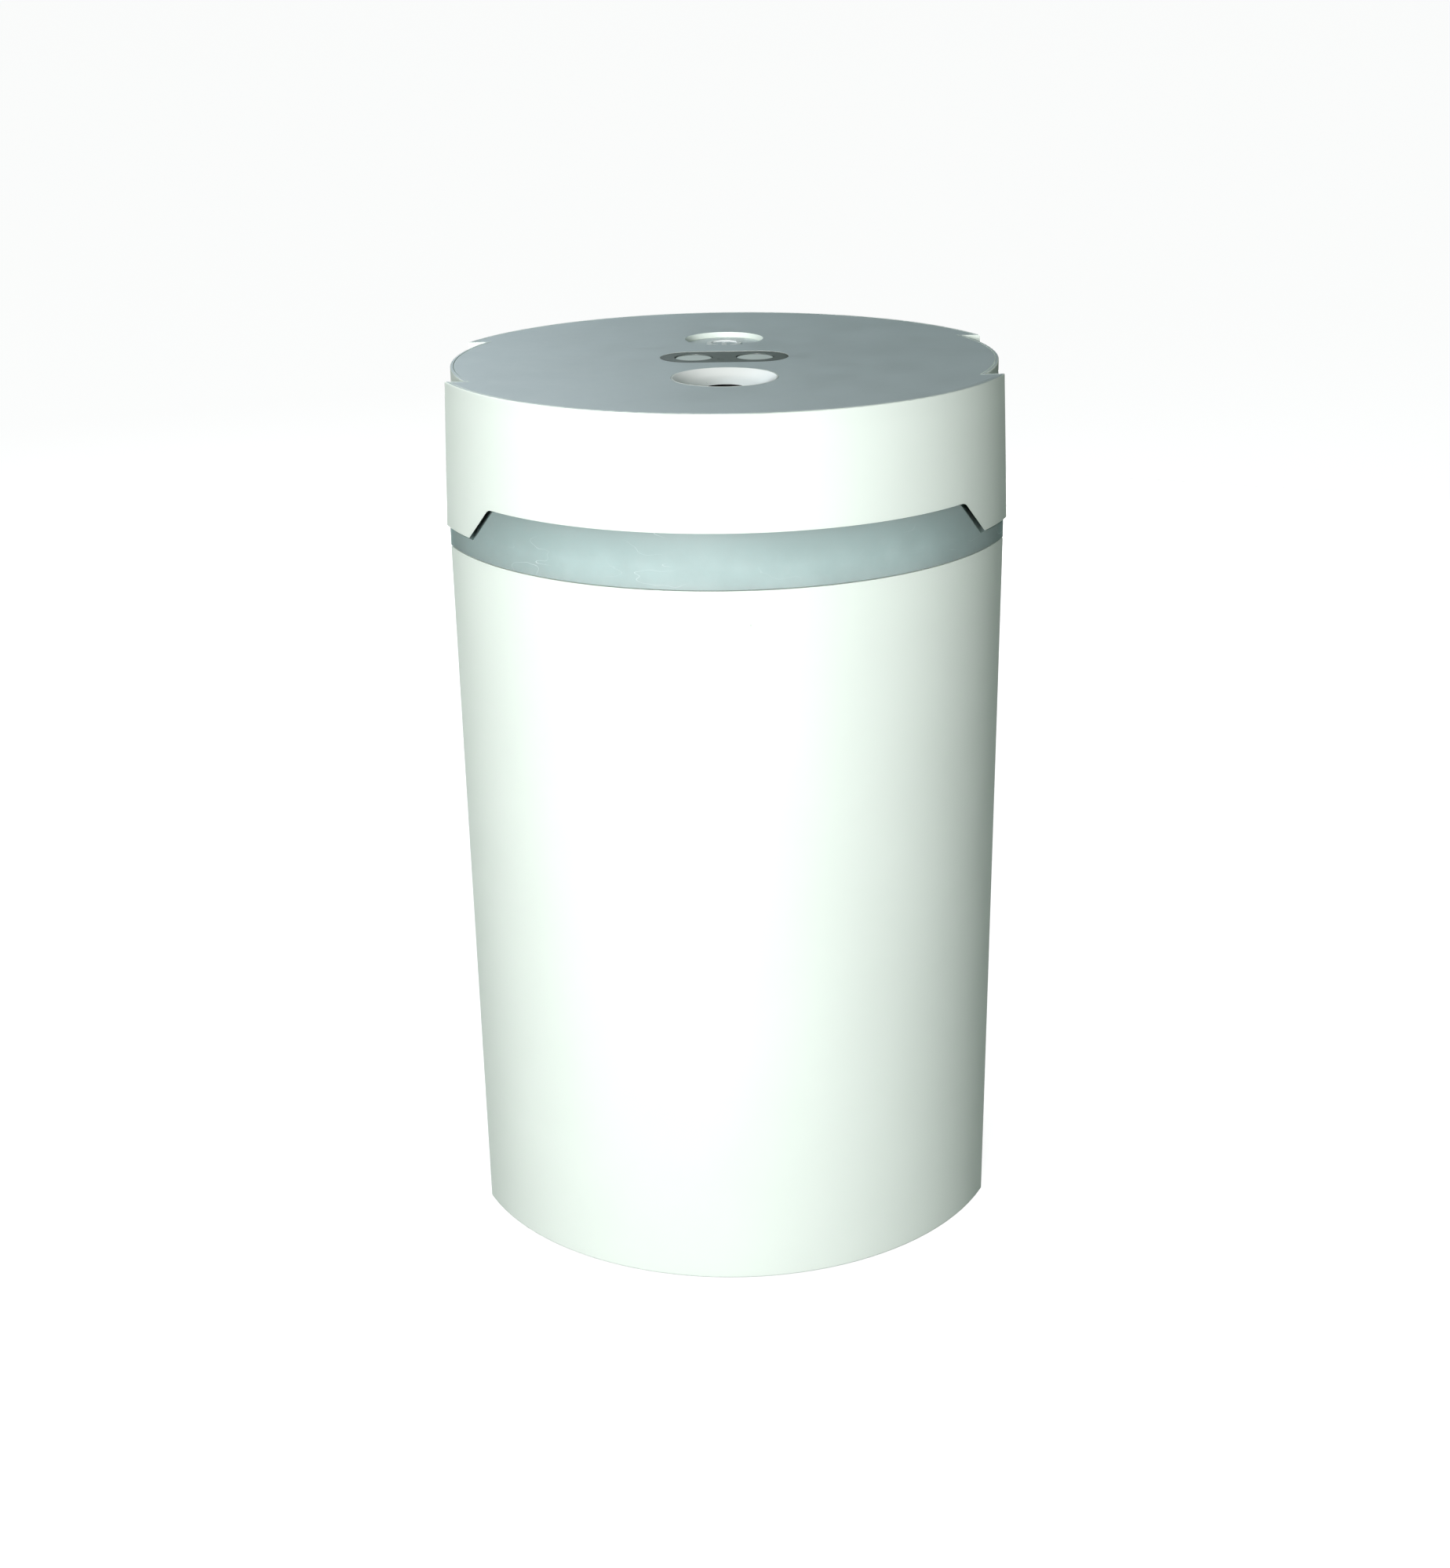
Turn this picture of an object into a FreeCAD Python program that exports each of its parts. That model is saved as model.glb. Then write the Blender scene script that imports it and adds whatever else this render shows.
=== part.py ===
"""Tabletop mist-type air purifier: a round water tank with a lift-off head.

Millimetres, +Z up, origin on the floor under the centre of the tank.
The front (the nozzle side) faces -Y and the two hand flutes face +X and -X.
"""
import FreeCAD, Part
import math
import os
import Sketcher

from FreeCAD import Placement, Rotation, Vector

# ---------------------------------------------------------------- driving dimensions
DIMENSIONS = {
    # tank: nearly straight cup with a round neck
    "tank_top": 104.6, "tank_low": 0.3, "tank_radius": 42.2, "tank_foot_radius": 42.1,
    "tank_wall": 2.0, "tank_flute_floor": 39.1, "tank_flute_half_low": 17.4,
    "tank_flute_half_top": 15.8,
    "neck_radius": 35.3, "neck_low": 96.0,
    "foot_radius": 36.0, "foot_width": 3.0, "foot_recess": 0.7,
    # cap shell of the head
    "total_height": 128.0, "cap_radius": 42.0, "cap_skirt_radius": 42.5, "cap_wall": 1.8,
    "skirt_low": 107.5, "window_top": 112.4, "window_half_low": 35.7, "window_half_high": 32.5,
    "window_round": 1.0,
    "flute_floor": 39.5, "flute_half_top": 16.3, "flute_half_skirt": 15.4,
    "deck_low": 124.2, "deck_top": 126.0, "rim": 0.4, "seam": 0.06, "edge_round": 0.15,
    "foot_round": 0.3, "soft_edge": 0.1, "bezel_sunk": 0.02,
    # light ring
    "ring_low": 104.75, "band_top": 107.2, "panel_top": 112.35, "panel_gap": 0.75, "ring_inner": 35.0,
    "lamp_half_length": 1.4, "lamp_half_width": 0.8, "lamp_gap": 0.1,
    # chassis that closes the tank
    "floor_top": 106.25, "plug_radius": 34.7, "plug_wall": 2.4, "plug_low": 97.0,
    "seal_low": 98.8, "seal_high": 101.2, "seal_inner": 33.8, "seal_outer": 35.25,
    "reflector_radius": 34.8, "reflector_wall": 1.6, "reflector_top": 113.2,
    # nozzle and the disc stack below it
    "nozzle_y": -15.8, "nozzle_radius": 7.4, "mist_radius": 3.0, "mist_rim": 126.45,
    "funnel_step": 2.2, "funnel_drop": 1.0, "funnel_round": 4.0, "lip_width": 0.15, "lip_round": 0.1,
    "cup_wall": 0.8, "chamber_top": 126.33,
    "cup_low": 121.5, "disc_radius": 8.0, "disc_bore": 4.0, "disc_low": 119.5, "mesh_thick": 0.2,
    "disc_high": 120.3, "disc_seal_bore": 5.0, "disc_seal_rim": 0.5, "pocket_gap": 0.6,
    "pocket_low": 118.3, "column_radius": 10.2, "column_top": 121.4, "lead_slot_half": 2.2,
    "socket_radius": 6.28, "socket_wall": 2.0, "socket_low": 102.0, "socket_top": 116.0,
    "passage_radius": 4.9,
    # wick and its tube
    "tube_radius": 6.2, "tube_bore": 4.7, "tube_low": 22.0, "tube_top": 115.5,
    "wick_radius": 4.3, "wick_low": 28.0, "wick_top": 119.3,
    "end_cap_radius": 7.4, "end_cap_low": 20.0, "end_cap_top": 27.0, "end_cap_fit": 0.02,
    "water_hole_radius": 2.2, "slot_half": 1.3, "slot_low": 34.0, "slot_high": 62.0,
    "spring_radius": 3.6, "spring_wire": 0.35, "spring_pitch": 1.3,
    # controls
    "bezel_half": 9.3, "bezel_radius": 4.55, "key_y": 0.4, "key_x": 4.45, "key_radius": 2.7,
    "button_y": 16.4, "button_radius": 5.75, "button_face": 127.2,
    "button_flange": 0.95, "key_flange": 0.7, "key_sink": 0.15, "key_round": 0.2,
    "stem_low": 122.3, "stem_radius": 1.2, "stem_height": 0.6, "flange_gap": 0.5, "running": 0.1,
    "icon_outer": 2.65, "icon_inner": 1.95, "icon_gap_half": 0.9, "icon_bar_half": 0.38,
    "icon_bar_low": 2.4, "icon_bar_high": 0.2, "icon_sunk": 0.2, "icon_proud": 0.2,
    # leads of the disc
    "lead_radius": 0.27, "lead_bend": 1.0, "lead_reach": 5.4, "lead_x": 1.2,
    # circuit board
    "board_low": 117.0, "board_thick": 1.6, "board_radius": 26.0, "board_front": -4.0,
    "tongue_half": 7.0, "tongue_back": 39.0, "switch_top": 121.6, "plunger": 0.6,
    "switch_half": 2.2, "plunger_radius": 1.0,
    "chip_x": -14.0, "chip_y": 12.5, "chip_half_length": 3.0, "chip_half_width": 2.5, "chip_height": 1.2,
    "coil_x": 14.0, "coil_y": 11.0, "coil_radius": 3.2, "coil_height": 3.4,
    "can_y": 28.0, "can_radius": 2.5, "can_height": 5.2,
    "pin_y": 35.0, "pin_pitch": 2.54, "pin_radius": 0.32,
    "led_board_thick": 1.0, "led_board_inner": 32.0, "led_board_outer": 37.3, "led_circle": 36.0,
    # fasteners
    "boss_circle": 29.0, "boss_angle": 40.0, "boss_radius": 2.6, "screw_radius": 1.1,
    "screw_clearance": 1.3, "screw_head_radius": 2.2, "screw_head": 1.4, "screw_top": 115.0,
    "board_screw_radius": 0.85, "board_screw_low": 110.25, "board_screw_head_radius": 1.8,
    "board_screw_head": 1.2, "post_radius": 2.5, "post_hole_low": 108.25,
    "drive_half": 1.1, "drive_slot_half": 0.25, "drive_depth": 0.7,
    # rear power inlet
    "inlet_half_width": 4.47, "inlet_half_height": 1.63, "inlet_front": 34.3, "inlet_face": 41.75,
    "inlet_gap": 0.15, "inlet_wall": 0.3, "inlet_back": 1.0,
    "blade_half_width": 3.2, "blade_half_height": 0.35, "blade_sunk": 0.6,
    # general: snug fit, bite of one solid into another, reach beyond every outline
    "fit": 0.05, "bite": 0.5, "reach": 60.0,
}

doc = FreeCAD.newDocument("air_purifier")
dims = doc.addObject("Spreadsheet::Sheet", "dims")
for row, (alias, size) in enumerate(DIMENSIONS.items(), start=1):
    dims.set(f"A{row}", alias)
    dims.set(f"B{row}", str(size))
    dims.setAlias(f"B{row}", alias)
doc.recompute()

LED_ANGLES = [-120, -100, -80, -60, 60, 80, 100, 120]
BOARD_POSTS = [(-20.0, 1.0), (20.0, 1.0), (-13.0, 20.0), (13.0, 20.0)]
nodes = []


def value(formula):
    """Number that a formula on the sheet gives now."""
    return float(dims.evalExpression(formula))


def bind(obj, **formulas):
    for prop, formula in formulas.items():
        obj.setExpression(prop, formula)
    return obj


def at(obj, x="0", y="0", z="0"):
    """Place an object by three formulas."""
    for axis, formula in zip("xyz", (x, y, z)):
        obj.setExpression(f"Placement.Base.{axis}", formula)
    return obj


def node(obj, label):
    """Mark an object as a finished sub-part."""
    obj.Label = label
    nodes.append(obj)
    return obj


# ---------------------------------------------------------------- building blocks
# Cutting tools run 1 mm past the faces they open.
def rod(name, radius, low, high, x="0", y="0"):
    """Upright cylinder between two heights."""
    cylinder = doc.addObject("Part::Cylinder", name)
    bind(cylinder, Radius=radius, Height=f"({high}) - ({low})")
    return at(cylinder, x, y, low)


def brick(name, x, y, z):
    """Block from (low, high) formulas on each axis."""
    block = doc.addObject("Part::Box", name)
    bind(block, Length=f"({x[1]}) - ({x[0]})", Width=f"({y[1]}) - ({y[0]})",
         Height=f"({z[1]}) - ({z[0]})")
    return at(block, x[0], y[0], z[0])


def tapered_bar(name, half_x, half_y, low, high):
    """Bar centred on Z whose half widths run from their low to their high formula."""
    bar = doc.addObject("Part::Wedge", name)
    bind(bar, Ymin=low, Ymax=high,
         Xmin=f"-({half_x[0]})", Xmax=half_x[0], X2min=f"-({half_x[1]})", X2max=half_x[1],
         Zmin=f"-({half_y[0]})", Zmax=half_y[0], Z2min=f"-({half_y[1]})", Z2max=half_y[1])
    bar.Placement = Placement(Vector(), Rotation(Vector(1, 0, 0), 90))
    return bar


def fuse(name, *shapes):
    union = doc.addObject("Part::MultiFuse", name)
    union.Shapes = list(shapes)
    return union


def cut(name, base, tool):
    difference = doc.addObject("Part::Cut", name)
    difference.Base = base
    difference.Tool = tool
    return difference


def common(name, base, tool):
    overlap = doc.addObject("Part::Common", name)
    overlap.Base = base
    overlap.Tool = tool
    return overlap


def group(name, shapes):
    """Several separate solids kept as one sub-part."""
    bundle = doc.addObject("Part::Compound", name)
    bundle.Links = list(shapes)
    return bundle


def fluted(name, radii, floor, halves, low, high, inset="0"):
    """Round column with one flute in each side, drawn in by an even inset."""
    cone = doc.addObject("Part::Cone", name + "_round")
    bind(cone, Radius1=f"{radii[0]} - ({inset})", Radius2=f"{radii[1]} - ({inset})",
         Height=f"({high}) - ({low})")
    at(cone, z=low)
    core = rod(name + "_core", f"{floor} - ({inset})", low, high)
    side_bar = tapered_bar(name + "_bar", ("dims.reach", "dims.reach"),
                           [f"{half} + ({inset})" for half in halves], low, high)
    flutes = cut(name + "_flutes", side_bar, core)
    return cut(name, cone, flutes)


def sketch_on(body, role, name):
    """Empty sketch on one of the body's own origin planes."""
    sketch = body.newObject("Sketcher::SketchObject", name)
    plane = next(item for item in body.Origin.OriginFeatures if item.Role == role)
    sketch.AttachmentSupport = [(plane, "")]
    sketch.MapMode = "FlatFace"
    return sketch


def draw_outline(sketch, points):
    """Closed polygon whose corners are held by pairs of formulas."""
    corners = [Vector(value(a), value(b), 0) for a, b in points]
    count = len(corners)
    for index in range(count):
        sketch.addGeometry(Part.LineSegment(corners[index], corners[(index + 1) % count]))
    for index in range(count):
        sketch.addConstraint(Sketcher.Constraint("Coincident", index, 2, (index + 1) % count, 1))
    for index, formulas in enumerate(points):
        for kind, formula in zip(("DistanceX", "DistanceY"), formulas):
            if value(formula) == 0:
                axis = -2 if kind == "DistanceX" else -1
                sketch.addConstraint(Sketcher.Constraint("PointOnObject", index, 1, axis))
                continue
            number = sketch.addConstraint(
                Sketcher.Constraint(kind, -1, 1, index, 1, value(formula)))
            sketch.renameConstraint(number, f"{kind}_{index}")
            sketch.setExpression(f"Constraints.{kind}_{index}", formula)


def turned(name, outline, y="0", x="0"):
    """Body turned about its own upright axis from (radius, height) formulas."""
    body = doc.addObject("PartDesign::Body", name)
    sketch = sketch_on(body, "XZ_Plane", name + "_outline")
    draw_outline(sketch, outline)
    turn = body.newObject("PartDesign::Revolution", name + "_turn")
    turn.Profile = sketch
    turn.ReferenceAxis = (sketch, ["V_Axis"])
    turn.Angle = 360
    body.Tip = turn
    at(body, x, y)
    doc.recompute()
    return body


def washer(name, inner, outer, low, high, y="0"):
    return turned(name, [(inner, low), (outer, low), (outer, high), (inner, high)], y)


def round_flat_edges(name, solid, rounds, only_along_y=False):
    """Fillet every edge of a Part solid that lies flat at one of the (height, radius) pairs."""
    doc.recompute()
    fillet = doc.addObject("Part::Fillet", name)
    fillet.Base = solid
    edges = []
    for number, edge in enumerate(solid.Shape.Edges, start=1):
        for height, radius in rounds:
            low = edge.BoundBox.ZMin - height
            high = edge.BoundBox.ZMax - height
            if only_along_y and edge.BoundBox.XLength > 0.01:
                continue
            if abs(low) < 0.01 and abs(high) < 0.01:
                edges.append((number, radius, radius))
    fillet.Edges = edges
    return fillet


def round_rings(body, radius, wanted):
    """Fillet the circular edges of the body's tip that wanted(radius, height) picks."""
    tip = body.Tip
    names = []
    for number, edge in enumerate(tip.Shape.Edges, start=1):
        curve = edge.Curve
        if isinstance(curve, Part.Circle) and wanted(curve.Radius, curve.Center.z):
            names.append(f"Edge{number}")
    fillet = body.newObject("PartDesign::Fillet", tip.Name + "_round")
    fillet.Base = (tip, names)
    fillet.Radius = radius
    body.Tip = fillet
    doc.recompute()
    return body


def cross_slots(body, half_width, low, high, depth):
    """Four upright slots through the wall of a turned body."""
    sketch = sketch_on(body, "XZ_Plane", body.Name + "_slot")
    draw_outline(sketch, [(f"-({half_width})", low), (half_width, low),
                          (half_width, high), (f"-({half_width})", high)])
    pocket = body.newObject("PartDesign::Pocket", body.Name + "_slots")
    pocket.Profile = sketch
    pocket.Midplane = True
    pocket.setExpression("Length", f"2 * ({depth})")
    ring = body.newObject("PartDesign::PolarPattern", body.Name + "_slot_ring")
    ring.Originals = [pocket]
    upright = next(item for item in body.Origin.OriginFeatures if item.Role == "Z_Axis")
    ring.Axis = (upright, [""])
    ring.Angle = 360
    ring.Occurrences = 4
    body.Tip = ring
    doc.recompute()
    return body


def boss_points():
    signs = [(1, 1), (-1, 1), (-1, -1), (1, -1)]
    across = "dims.boss_circle * cos(dims.boss_angle * 1 deg)"
    along = "dims.boss_circle * sin(dims.boss_angle * 1 deg)"
    return [(f"{sx} * {across}", f"{sy} * {along}") for sx, sy in signs]


TANK_RADII = ("dims.tank_foot_radius", "dims.tank_radius")
TANK_HALVES = ("dims.tank_flute_half_low", "dims.tank_flute_half_top")
RING_HALVES = ("dims.tank_flute_half_top", "dims.tank_flute_half_top")
RING_RADII = ("dims.tank_radius", "dims.tank_radius")
CAP_RADII = ("dims.cap_skirt_radius", "dims.cap_radius")
CAP_HALVES = ("dims.flute_half_skirt", "dims.flute_half_top")
TOP_RADII = ("dims.cap_radius", "dims.cap_radius")
TOP_HALVES = ("dims.flute_half_top", "dims.flute_half_top")
BOARD_TOP = "dims.board_low + dims.board_thick"
INLET_Z = f"{BOARD_TOP} + dims.inlet_half_height"
BUTTON_HOLE = "dims.button_radius + 1.5 * dims.running"
KEY_HOLE = "dims.key_radius + dims.running"
NOZZLE_HOLE = "dims.nozzle_radius + dims.running"
WINDOW_SLOPE = ("(dims.window_half_low - dims.window_half_high)"
                " / (dims.window_top - dims.skirt_low)")


# ---------------------------------------------------------------- tank
def make_tank():
    block = fluted("tank_block", TANK_RADII, "dims.tank_flute_floor", TANK_HALVES,
                   "dims.tank_low", "dims.tank_top")
    outside = round_flat_edges("tank_outside", block,
                               [(value("dims.tank_low"), value("dims.foot_round"))])
    water = fluted("tank_water", TANK_RADII, "dims.tank_flute_floor", TANK_HALVES,
                   "dims.tank_low + dims.tank_wall", "dims.neck_low", "dims.tank_wall")
    neck = rod("tank_neck", "dims.neck_radius", "dims.neck_low - 1", "dims.tank_top + 1")
    recess_outer = "dims.foot_radius + dims.running"
    recess_inner = "dims.foot_radius - dims.foot_width - dims.running"
    recess = washer("foot_recess_cut", recess_inner, recess_outer, "dims.tank_low - 1",
                    "dims.tank_low + dims.foot_recess")
    hollow = fuse("tank_hollow", water, neck, recess)
    node(cut("tank_body_cut", outside, hollow), "tank_body")
    foot = washer("foot", "dims.foot_radius - dims.foot_width", "dims.foot_radius", "0",
                  "dims.tank_low + dims.foot_recess")
    node(foot, "foot_ring")


# ---------------------------------------------------------------- cap shell and top plate
def inlet_bar(name, clearance, front, back):
    """Flat-sided bar with round ends along +Y, the outline of the rear power inlet."""
    half_height = f"dims.inlet_half_height + {clearance}"
    straight = "dims.inlet_half_width - dims.inlet_half_height"
    block = brick(name + "_flat", (f"-({straight})", straight), (front, back),
                  (f"{INLET_Z} - ({half_height})", f"{INLET_Z} + {half_height}"))
    ends = []
    for side in (-1, 1):
        end = doc.addObject("Part::Cylinder", f"{name}_end")
        bind(end, Radius=half_height, Height=f"({back}) - ({front})")
        end.Placement = Placement(Vector(), Rotation(Vector(1, 0, 0), -90))
        ends.append(at(end, f"{side} * ({straight})", front, INLET_Z))
    return fuse(name, block, *ends)


def make_cap():
    block = fluted("cap_block", CAP_RADII, "dims.flute_floor", CAP_HALVES,
                   "dims.skirt_low", "dims.total_height")
    outside = round_flat_edges("cap_outside", block,
                               [(value("dims.total_height"), value("dims.edge_round"))])
    bosses = [rod("cap_boss", "dims.boss_radius", "dims.floor_top", "dims.deck_low + dims.bite", x, y)
              for x, y in boss_points()]
    inside = fluted("cap_inside", CAP_RADII, "dims.flute_floor", CAP_HALVES,
                    "dims.skirt_low", "dims.deck_low", "dims.cap_wall")
    tray = fluted("cap_tray", TOP_RADII, "dims.flute_floor", TOP_HALVES,
                  "dims.deck_top", "dims.total_height", "dims.rim")
    opening = tapered_bar("window_bar",
                          (f"dims.window_half_low + {WINDOW_SLOPE}", "dims.window_half_high"),
                          ("dims.reach", "dims.reach"), "dims.skirt_low - 1", "dims.window_top")
    window = round_flat_edges("cap_windows", opening,
                              [(value("dims.window_top"), value("dims.window_round"))], True)
    shell = cut("cap_hollow", outside, fuse("cap_space", inside, tray, window))
    with_bosses = fuse("cap_with_bosses", shell, *bosses)
    holes = [
        rod("nozzle_hole", NOZZLE_HOLE, "dims.deck_low - 1", "dims.total_height + 1",
            y="dims.nozzle_y"),
        rod("button_hole", BUTTON_HOLE, "dims.deck_low - 1", "dims.total_height + 1",
            y="dims.button_y"),
        inlet_bar("inlet_hole", "dims.inlet_gap", "dims.inlet_front", "dims.reach"),
    ]
    holes += [rod("key_hole", KEY_HOLE, "dims.deck_low - 1", "dims.deck_top + 1",
                  f"{side} * dims.key_x", "dims.key_y") for side in (-1, 1)]
    holes += [rod("boss_hole", "dims.screw_radius + dims.fit", "dims.floor_top - 1",
                  "dims.screw_top + 1", x, y) for x, y in boss_points()]
    node(cut("cap_shell_cut", with_bosses, fuse("cap_holes", *holes)), "cap_shell")


def pill(name, clearance, low, high):
    """Upright bar with round ends, the outline of the key bezel."""
    straight = "dims.bezel_half - dims.bezel_radius"
    radius = f"dims.bezel_radius + {clearance}"
    block = brick(name + "_flat", (f"-({straight})", straight),
                  (f"dims.key_y - ({radius})", f"dims.key_y + {radius}"), (low, high))
    ends = [rod(name + "_end", radius, low, high, f"{side} * ({straight})", "dims.key_y")
            for side in (-1, 1)]
    return fuse(name, block, *ends)


def make_top_plate():
    blank = fluted("plate_blank", TOP_RADII, "dims.flute_floor", TOP_HALVES,
                   "dims.deck_top", "dims.total_height", "dims.rim + dims.seam")
    disc = round_flat_edges("plate_disc", blank,
                            [(value("dims.total_height"), value("dims.soft_edge"))])
    holes = [
        rod("plate_nozzle_hole", NOZZLE_HOLE, "dims.deck_top - 1", "dims.total_height + 1",
            y="dims.nozzle_y"),
        rod("plate_button_hole", BUTTON_HOLE, "dims.deck_top - 1", "dims.total_height + 1",
            y="dims.button_y"),
        pill("plate_bezel_hole", "dims.fit", "dims.deck_top - 1", "dims.total_height + 1"),
    ]
    node(cut("top_plate_cut", disc, fuse("plate_holes", *holes)), "top_plate")

    block = pill("bezel_block", "0", "dims.deck_top", "dims.total_height - dims.bezel_sunk")
    key_holes = [rod("bezel_hole", KEY_HOLE, "dims.deck_top - 1", "dims.total_height + 1",
                     f"{side} * dims.key_x", "dims.key_y") for side in (-1, 1)]
    node(cut("key_bezel_cut", block, fuse("bezel_holes", *key_holes)), "key_bezel")


# ---------------------------------------------------------------- light ring
def make_light_ring():
    band = fluted("ring_band", RING_RADII, "dims.tank_flute_floor", RING_HALVES,
                  "dims.ring_low", "dims.band_top")
    tall = rod("ring_tall", "dims.tank_radius", "dims.ring_low", "dims.panel_top")
    low_half = ("dims.window_half_low - dims.panel_gap"
                f" + {WINDOW_SLOPE} * (dims.skirt_low - dims.ring_low)")
    high_half = ("dims.window_half_high - dims.panel_gap"
                 f" + {WINDOW_SLOPE} * (dims.window_top - dims.panel_top)")
    wedge = tapered_bar("ring_wedge", (low_half, high_half), ("dims.reach", "dims.reach"),
                        "dims.ring_low", "dims.panel_top")
    keystone = round_flat_edges("ring_keystone", wedge,
                                [(value("dims.panel_top"), value("dims.window_round"))], True)
    panels = common("ring_panels", tall, keystone)
    bore = rod("ring_bore", "dims.ring_inner", "dims.ring_low - 1", "dims.panel_top + 1")
    node(cut("light_ring_cut", fuse("ring_solid", band, panels), bore), "light_ring")

    board_high = "dims.reflector_top + dims.led_board_thick"
    led_board = washer("led_ring", "dims.led_board_inner", "dims.led_board_outer",
                       "dims.reflector_top", board_high)
    node(led_board, "led_board")
    lamp = brick("lamp", ("-dims.lamp_half_length", "dims.lamp_half_length"),
                 ("dims.led_circle - dims.lamp_half_width", "dims.led_circle + dims.lamp_half_width"),
                 ("dims.panel_top + dims.lamp_gap", "dims.reflector_top"))
    lamps = []
    for angle in LED_ANGLES:
        turned_lamp = group("lamp_turned", [lamp])
        turned_lamp.Placement = Placement(Vector(), Rotation(Vector(0, 0, 1), angle - 90))
        lamps.append(turned_lamp)
    node(group("lamp_group", lamps), "ring_leds")


# ---------------------------------------------------------------- chassis
def make_chassis():
    inner = "dims.plug_radius - dims.plug_wall"
    dish = turned("chassis_dish", [
        ("0", "dims.ring_low"),
        (inner, "dims.ring_low"),
        (inner, "dims.plug_low"),
        ("dims.plug_radius", "dims.plug_low"),
        ("dims.plug_radius", "dims.seal_low"),
        ("dims.seal_inner", "dims.seal_low"),
        ("dims.seal_inner", "dims.seal_high"),
        ("dims.plug_radius", "dims.seal_high"),
        ("dims.plug_radius", "dims.ring_low"),
        ("dims.reflector_radius", "dims.ring_low"),
        ("dims.reflector_radius", "dims.reflector_top"),
        ("dims.reflector_radius - dims.reflector_wall", "dims.reflector_top"),
        ("dims.reflector_radius - dims.reflector_wall", "dims.floor_top"),
        ("0", "dims.floor_top"),
    ])
    column = rod("chassis_column", "dims.column_radius", "dims.ring_low", "dims.column_top",
                 y="dims.nozzle_y")
    socket = rod("chassis_socket", "dims.socket_radius + dims.socket_wall", "dims.socket_low",
                 "dims.floor_top", y="dims.nozzle_y")
    posts = [rod("board_post", "dims.post_radius", "dims.ring_low", "dims.board_low", str(x), str(y))
             for x, y in BOARD_POSTS]
    solid = fuse("chassis_solid", dish, column, socket, *posts)
    holes = [
        rod("socket_bore", "dims.socket_radius", "dims.socket_low - 1", "dims.socket_top",
            y="dims.nozzle_y"),
        rod("wick_passage", "dims.passage_radius", "dims.socket_low", "dims.column_top",
            y="dims.nozzle_y"),
        rod("disc_pocket", "dims.disc_radius + dims.pocket_gap", "dims.pocket_low",
            "dims.column_top + 1", y="dims.nozzle_y"),
        brick("lead_slot", ("-dims.lead_slot_half", "dims.lead_slot_half"),
              ("dims.nozzle_y + dims.disc_radius", "dims.nozzle_y + dims.column_radius + 1"),
              ("dims.disc_low", "dims.column_top + 1")),
    ]
    holes += [rod("chassis_hole", "dims.screw_clearance", "dims.ring_low - 1", "dims.floor_top + 1",
                  x, y) for x, y in boss_points()]
    holes += [rod("post_hole", "dims.board_screw_radius + dims.fit", "dims.post_hole_low",
                  "dims.board_low + 1", str(x), str(y)) for x, y in BOARD_POSTS]
    node(cut("chassis_cut", solid, fuse("chassis_holes", *holes)), "head_chassis")
    seal = washer("seal_lip", "dims.seal_inner", "dims.seal_outer", "dims.seal_low + dims.fit",
                  "dims.seal_high - dims.fit")
    node(seal, "tank_seal")


# ---------------------------------------------------------------- nozzle and disc stack
def make_nozzle():
    top = "dims.total_height"
    outer = "dims.nozzle_radius"
    chamber = f"{outer} - dims.cup_wall"
    lip = f"{outer} - dims.lip_width"
    bend = f"{outer} - dims.funnel_step"
    cup = turned("nozzle", [
        ("dims.mist_radius", "dims.chamber_top"),
        (chamber, "dims.chamber_top"),
        (chamber, "dims.cup_low"),
        (outer, "dims.cup_low"),
        (outer, top),
        (lip, top),
        (bend, f"{top} - dims.funnel_drop"),
        ("dims.mist_radius", "dims.mist_rim"),
    ], "dims.nozzle_y")
    for edge, rounding in ((bend, "dims.funnel_round"), (lip, "dims.lip_round")):
        edge_radius = value(edge)
        round_rings(cup, value(rounding), lambda r, z: abs(r - edge_radius) < 0.01)
    node(cup, "nozzle_cup")

    seal_outer = "dims.disc_radius + dims.disc_seal_rim"
    for name, low, high in (("upper_disc_seal", "dims.disc_high", "dims.cup_low"),
                            ("lower_disc_seal", "dims.pocket_low", "dims.disc_low")):
        node(washer(name + "_ring", "dims.disc_seal_bore", seal_outer, low, high, "dims.nozzle_y"), name)
    node(washer("ceramic", "dims.disc_bore", "dims.disc_radius", "dims.disc_low + dims.mesh_thick",
                "dims.disc_high", "dims.nozzle_y"), "piezo_ring")
    node(rod("mesh", "dims.disc_radius", "dims.disc_low", "dims.disc_low + dims.mesh_thick",
             y="dims.nozzle_y"), "mesh_disc")


def make_disc_leads():
    """Two thin wires from the ceramic ring over the column wall to the board."""
    bend = value("dims.lead_bend")
    height = value("(dims.disc_low + dims.mesh_thick + dims.disc_high) / 2")
    start = value("dims.nozzle_y + dims.disc_radius")
    landing = start + value("dims.lead_reach")
    board = value(BOARD_TOP)
    sagitta = bend * (1 - math.sqrt(0.5))
    wires = []
    for x in (-value("dims.lead_x"), value("dims.lead_x")):
        corner = Vector(x, landing - bend, height)
        middle = Vector(x, landing - sagitta, height - sagitta)
        fall = Vector(x, landing, height - bend)
        run = Part.LineSegment(Vector(x, start, height), corner).toShape()
        arc = Part.Arc(corner, middle, fall).toShape()
        drop = Part.LineSegment(fall, Vector(x, landing, board)).toShape()
        path = Part.Wire([run, arc, drop])
        circle = Part.makeCircle(value("dims.lead_radius"), Vector(x, start, height), Vector(0, 1, 0))
        wires.append(path.makePipeShell([Part.Wire([circle])], True, False))
    leads = doc.addObject("Part::Feature", "disc_wires")
    leads.Shape = Part.makeCompound(wires)
    node(leads, "disc_leads")


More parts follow.
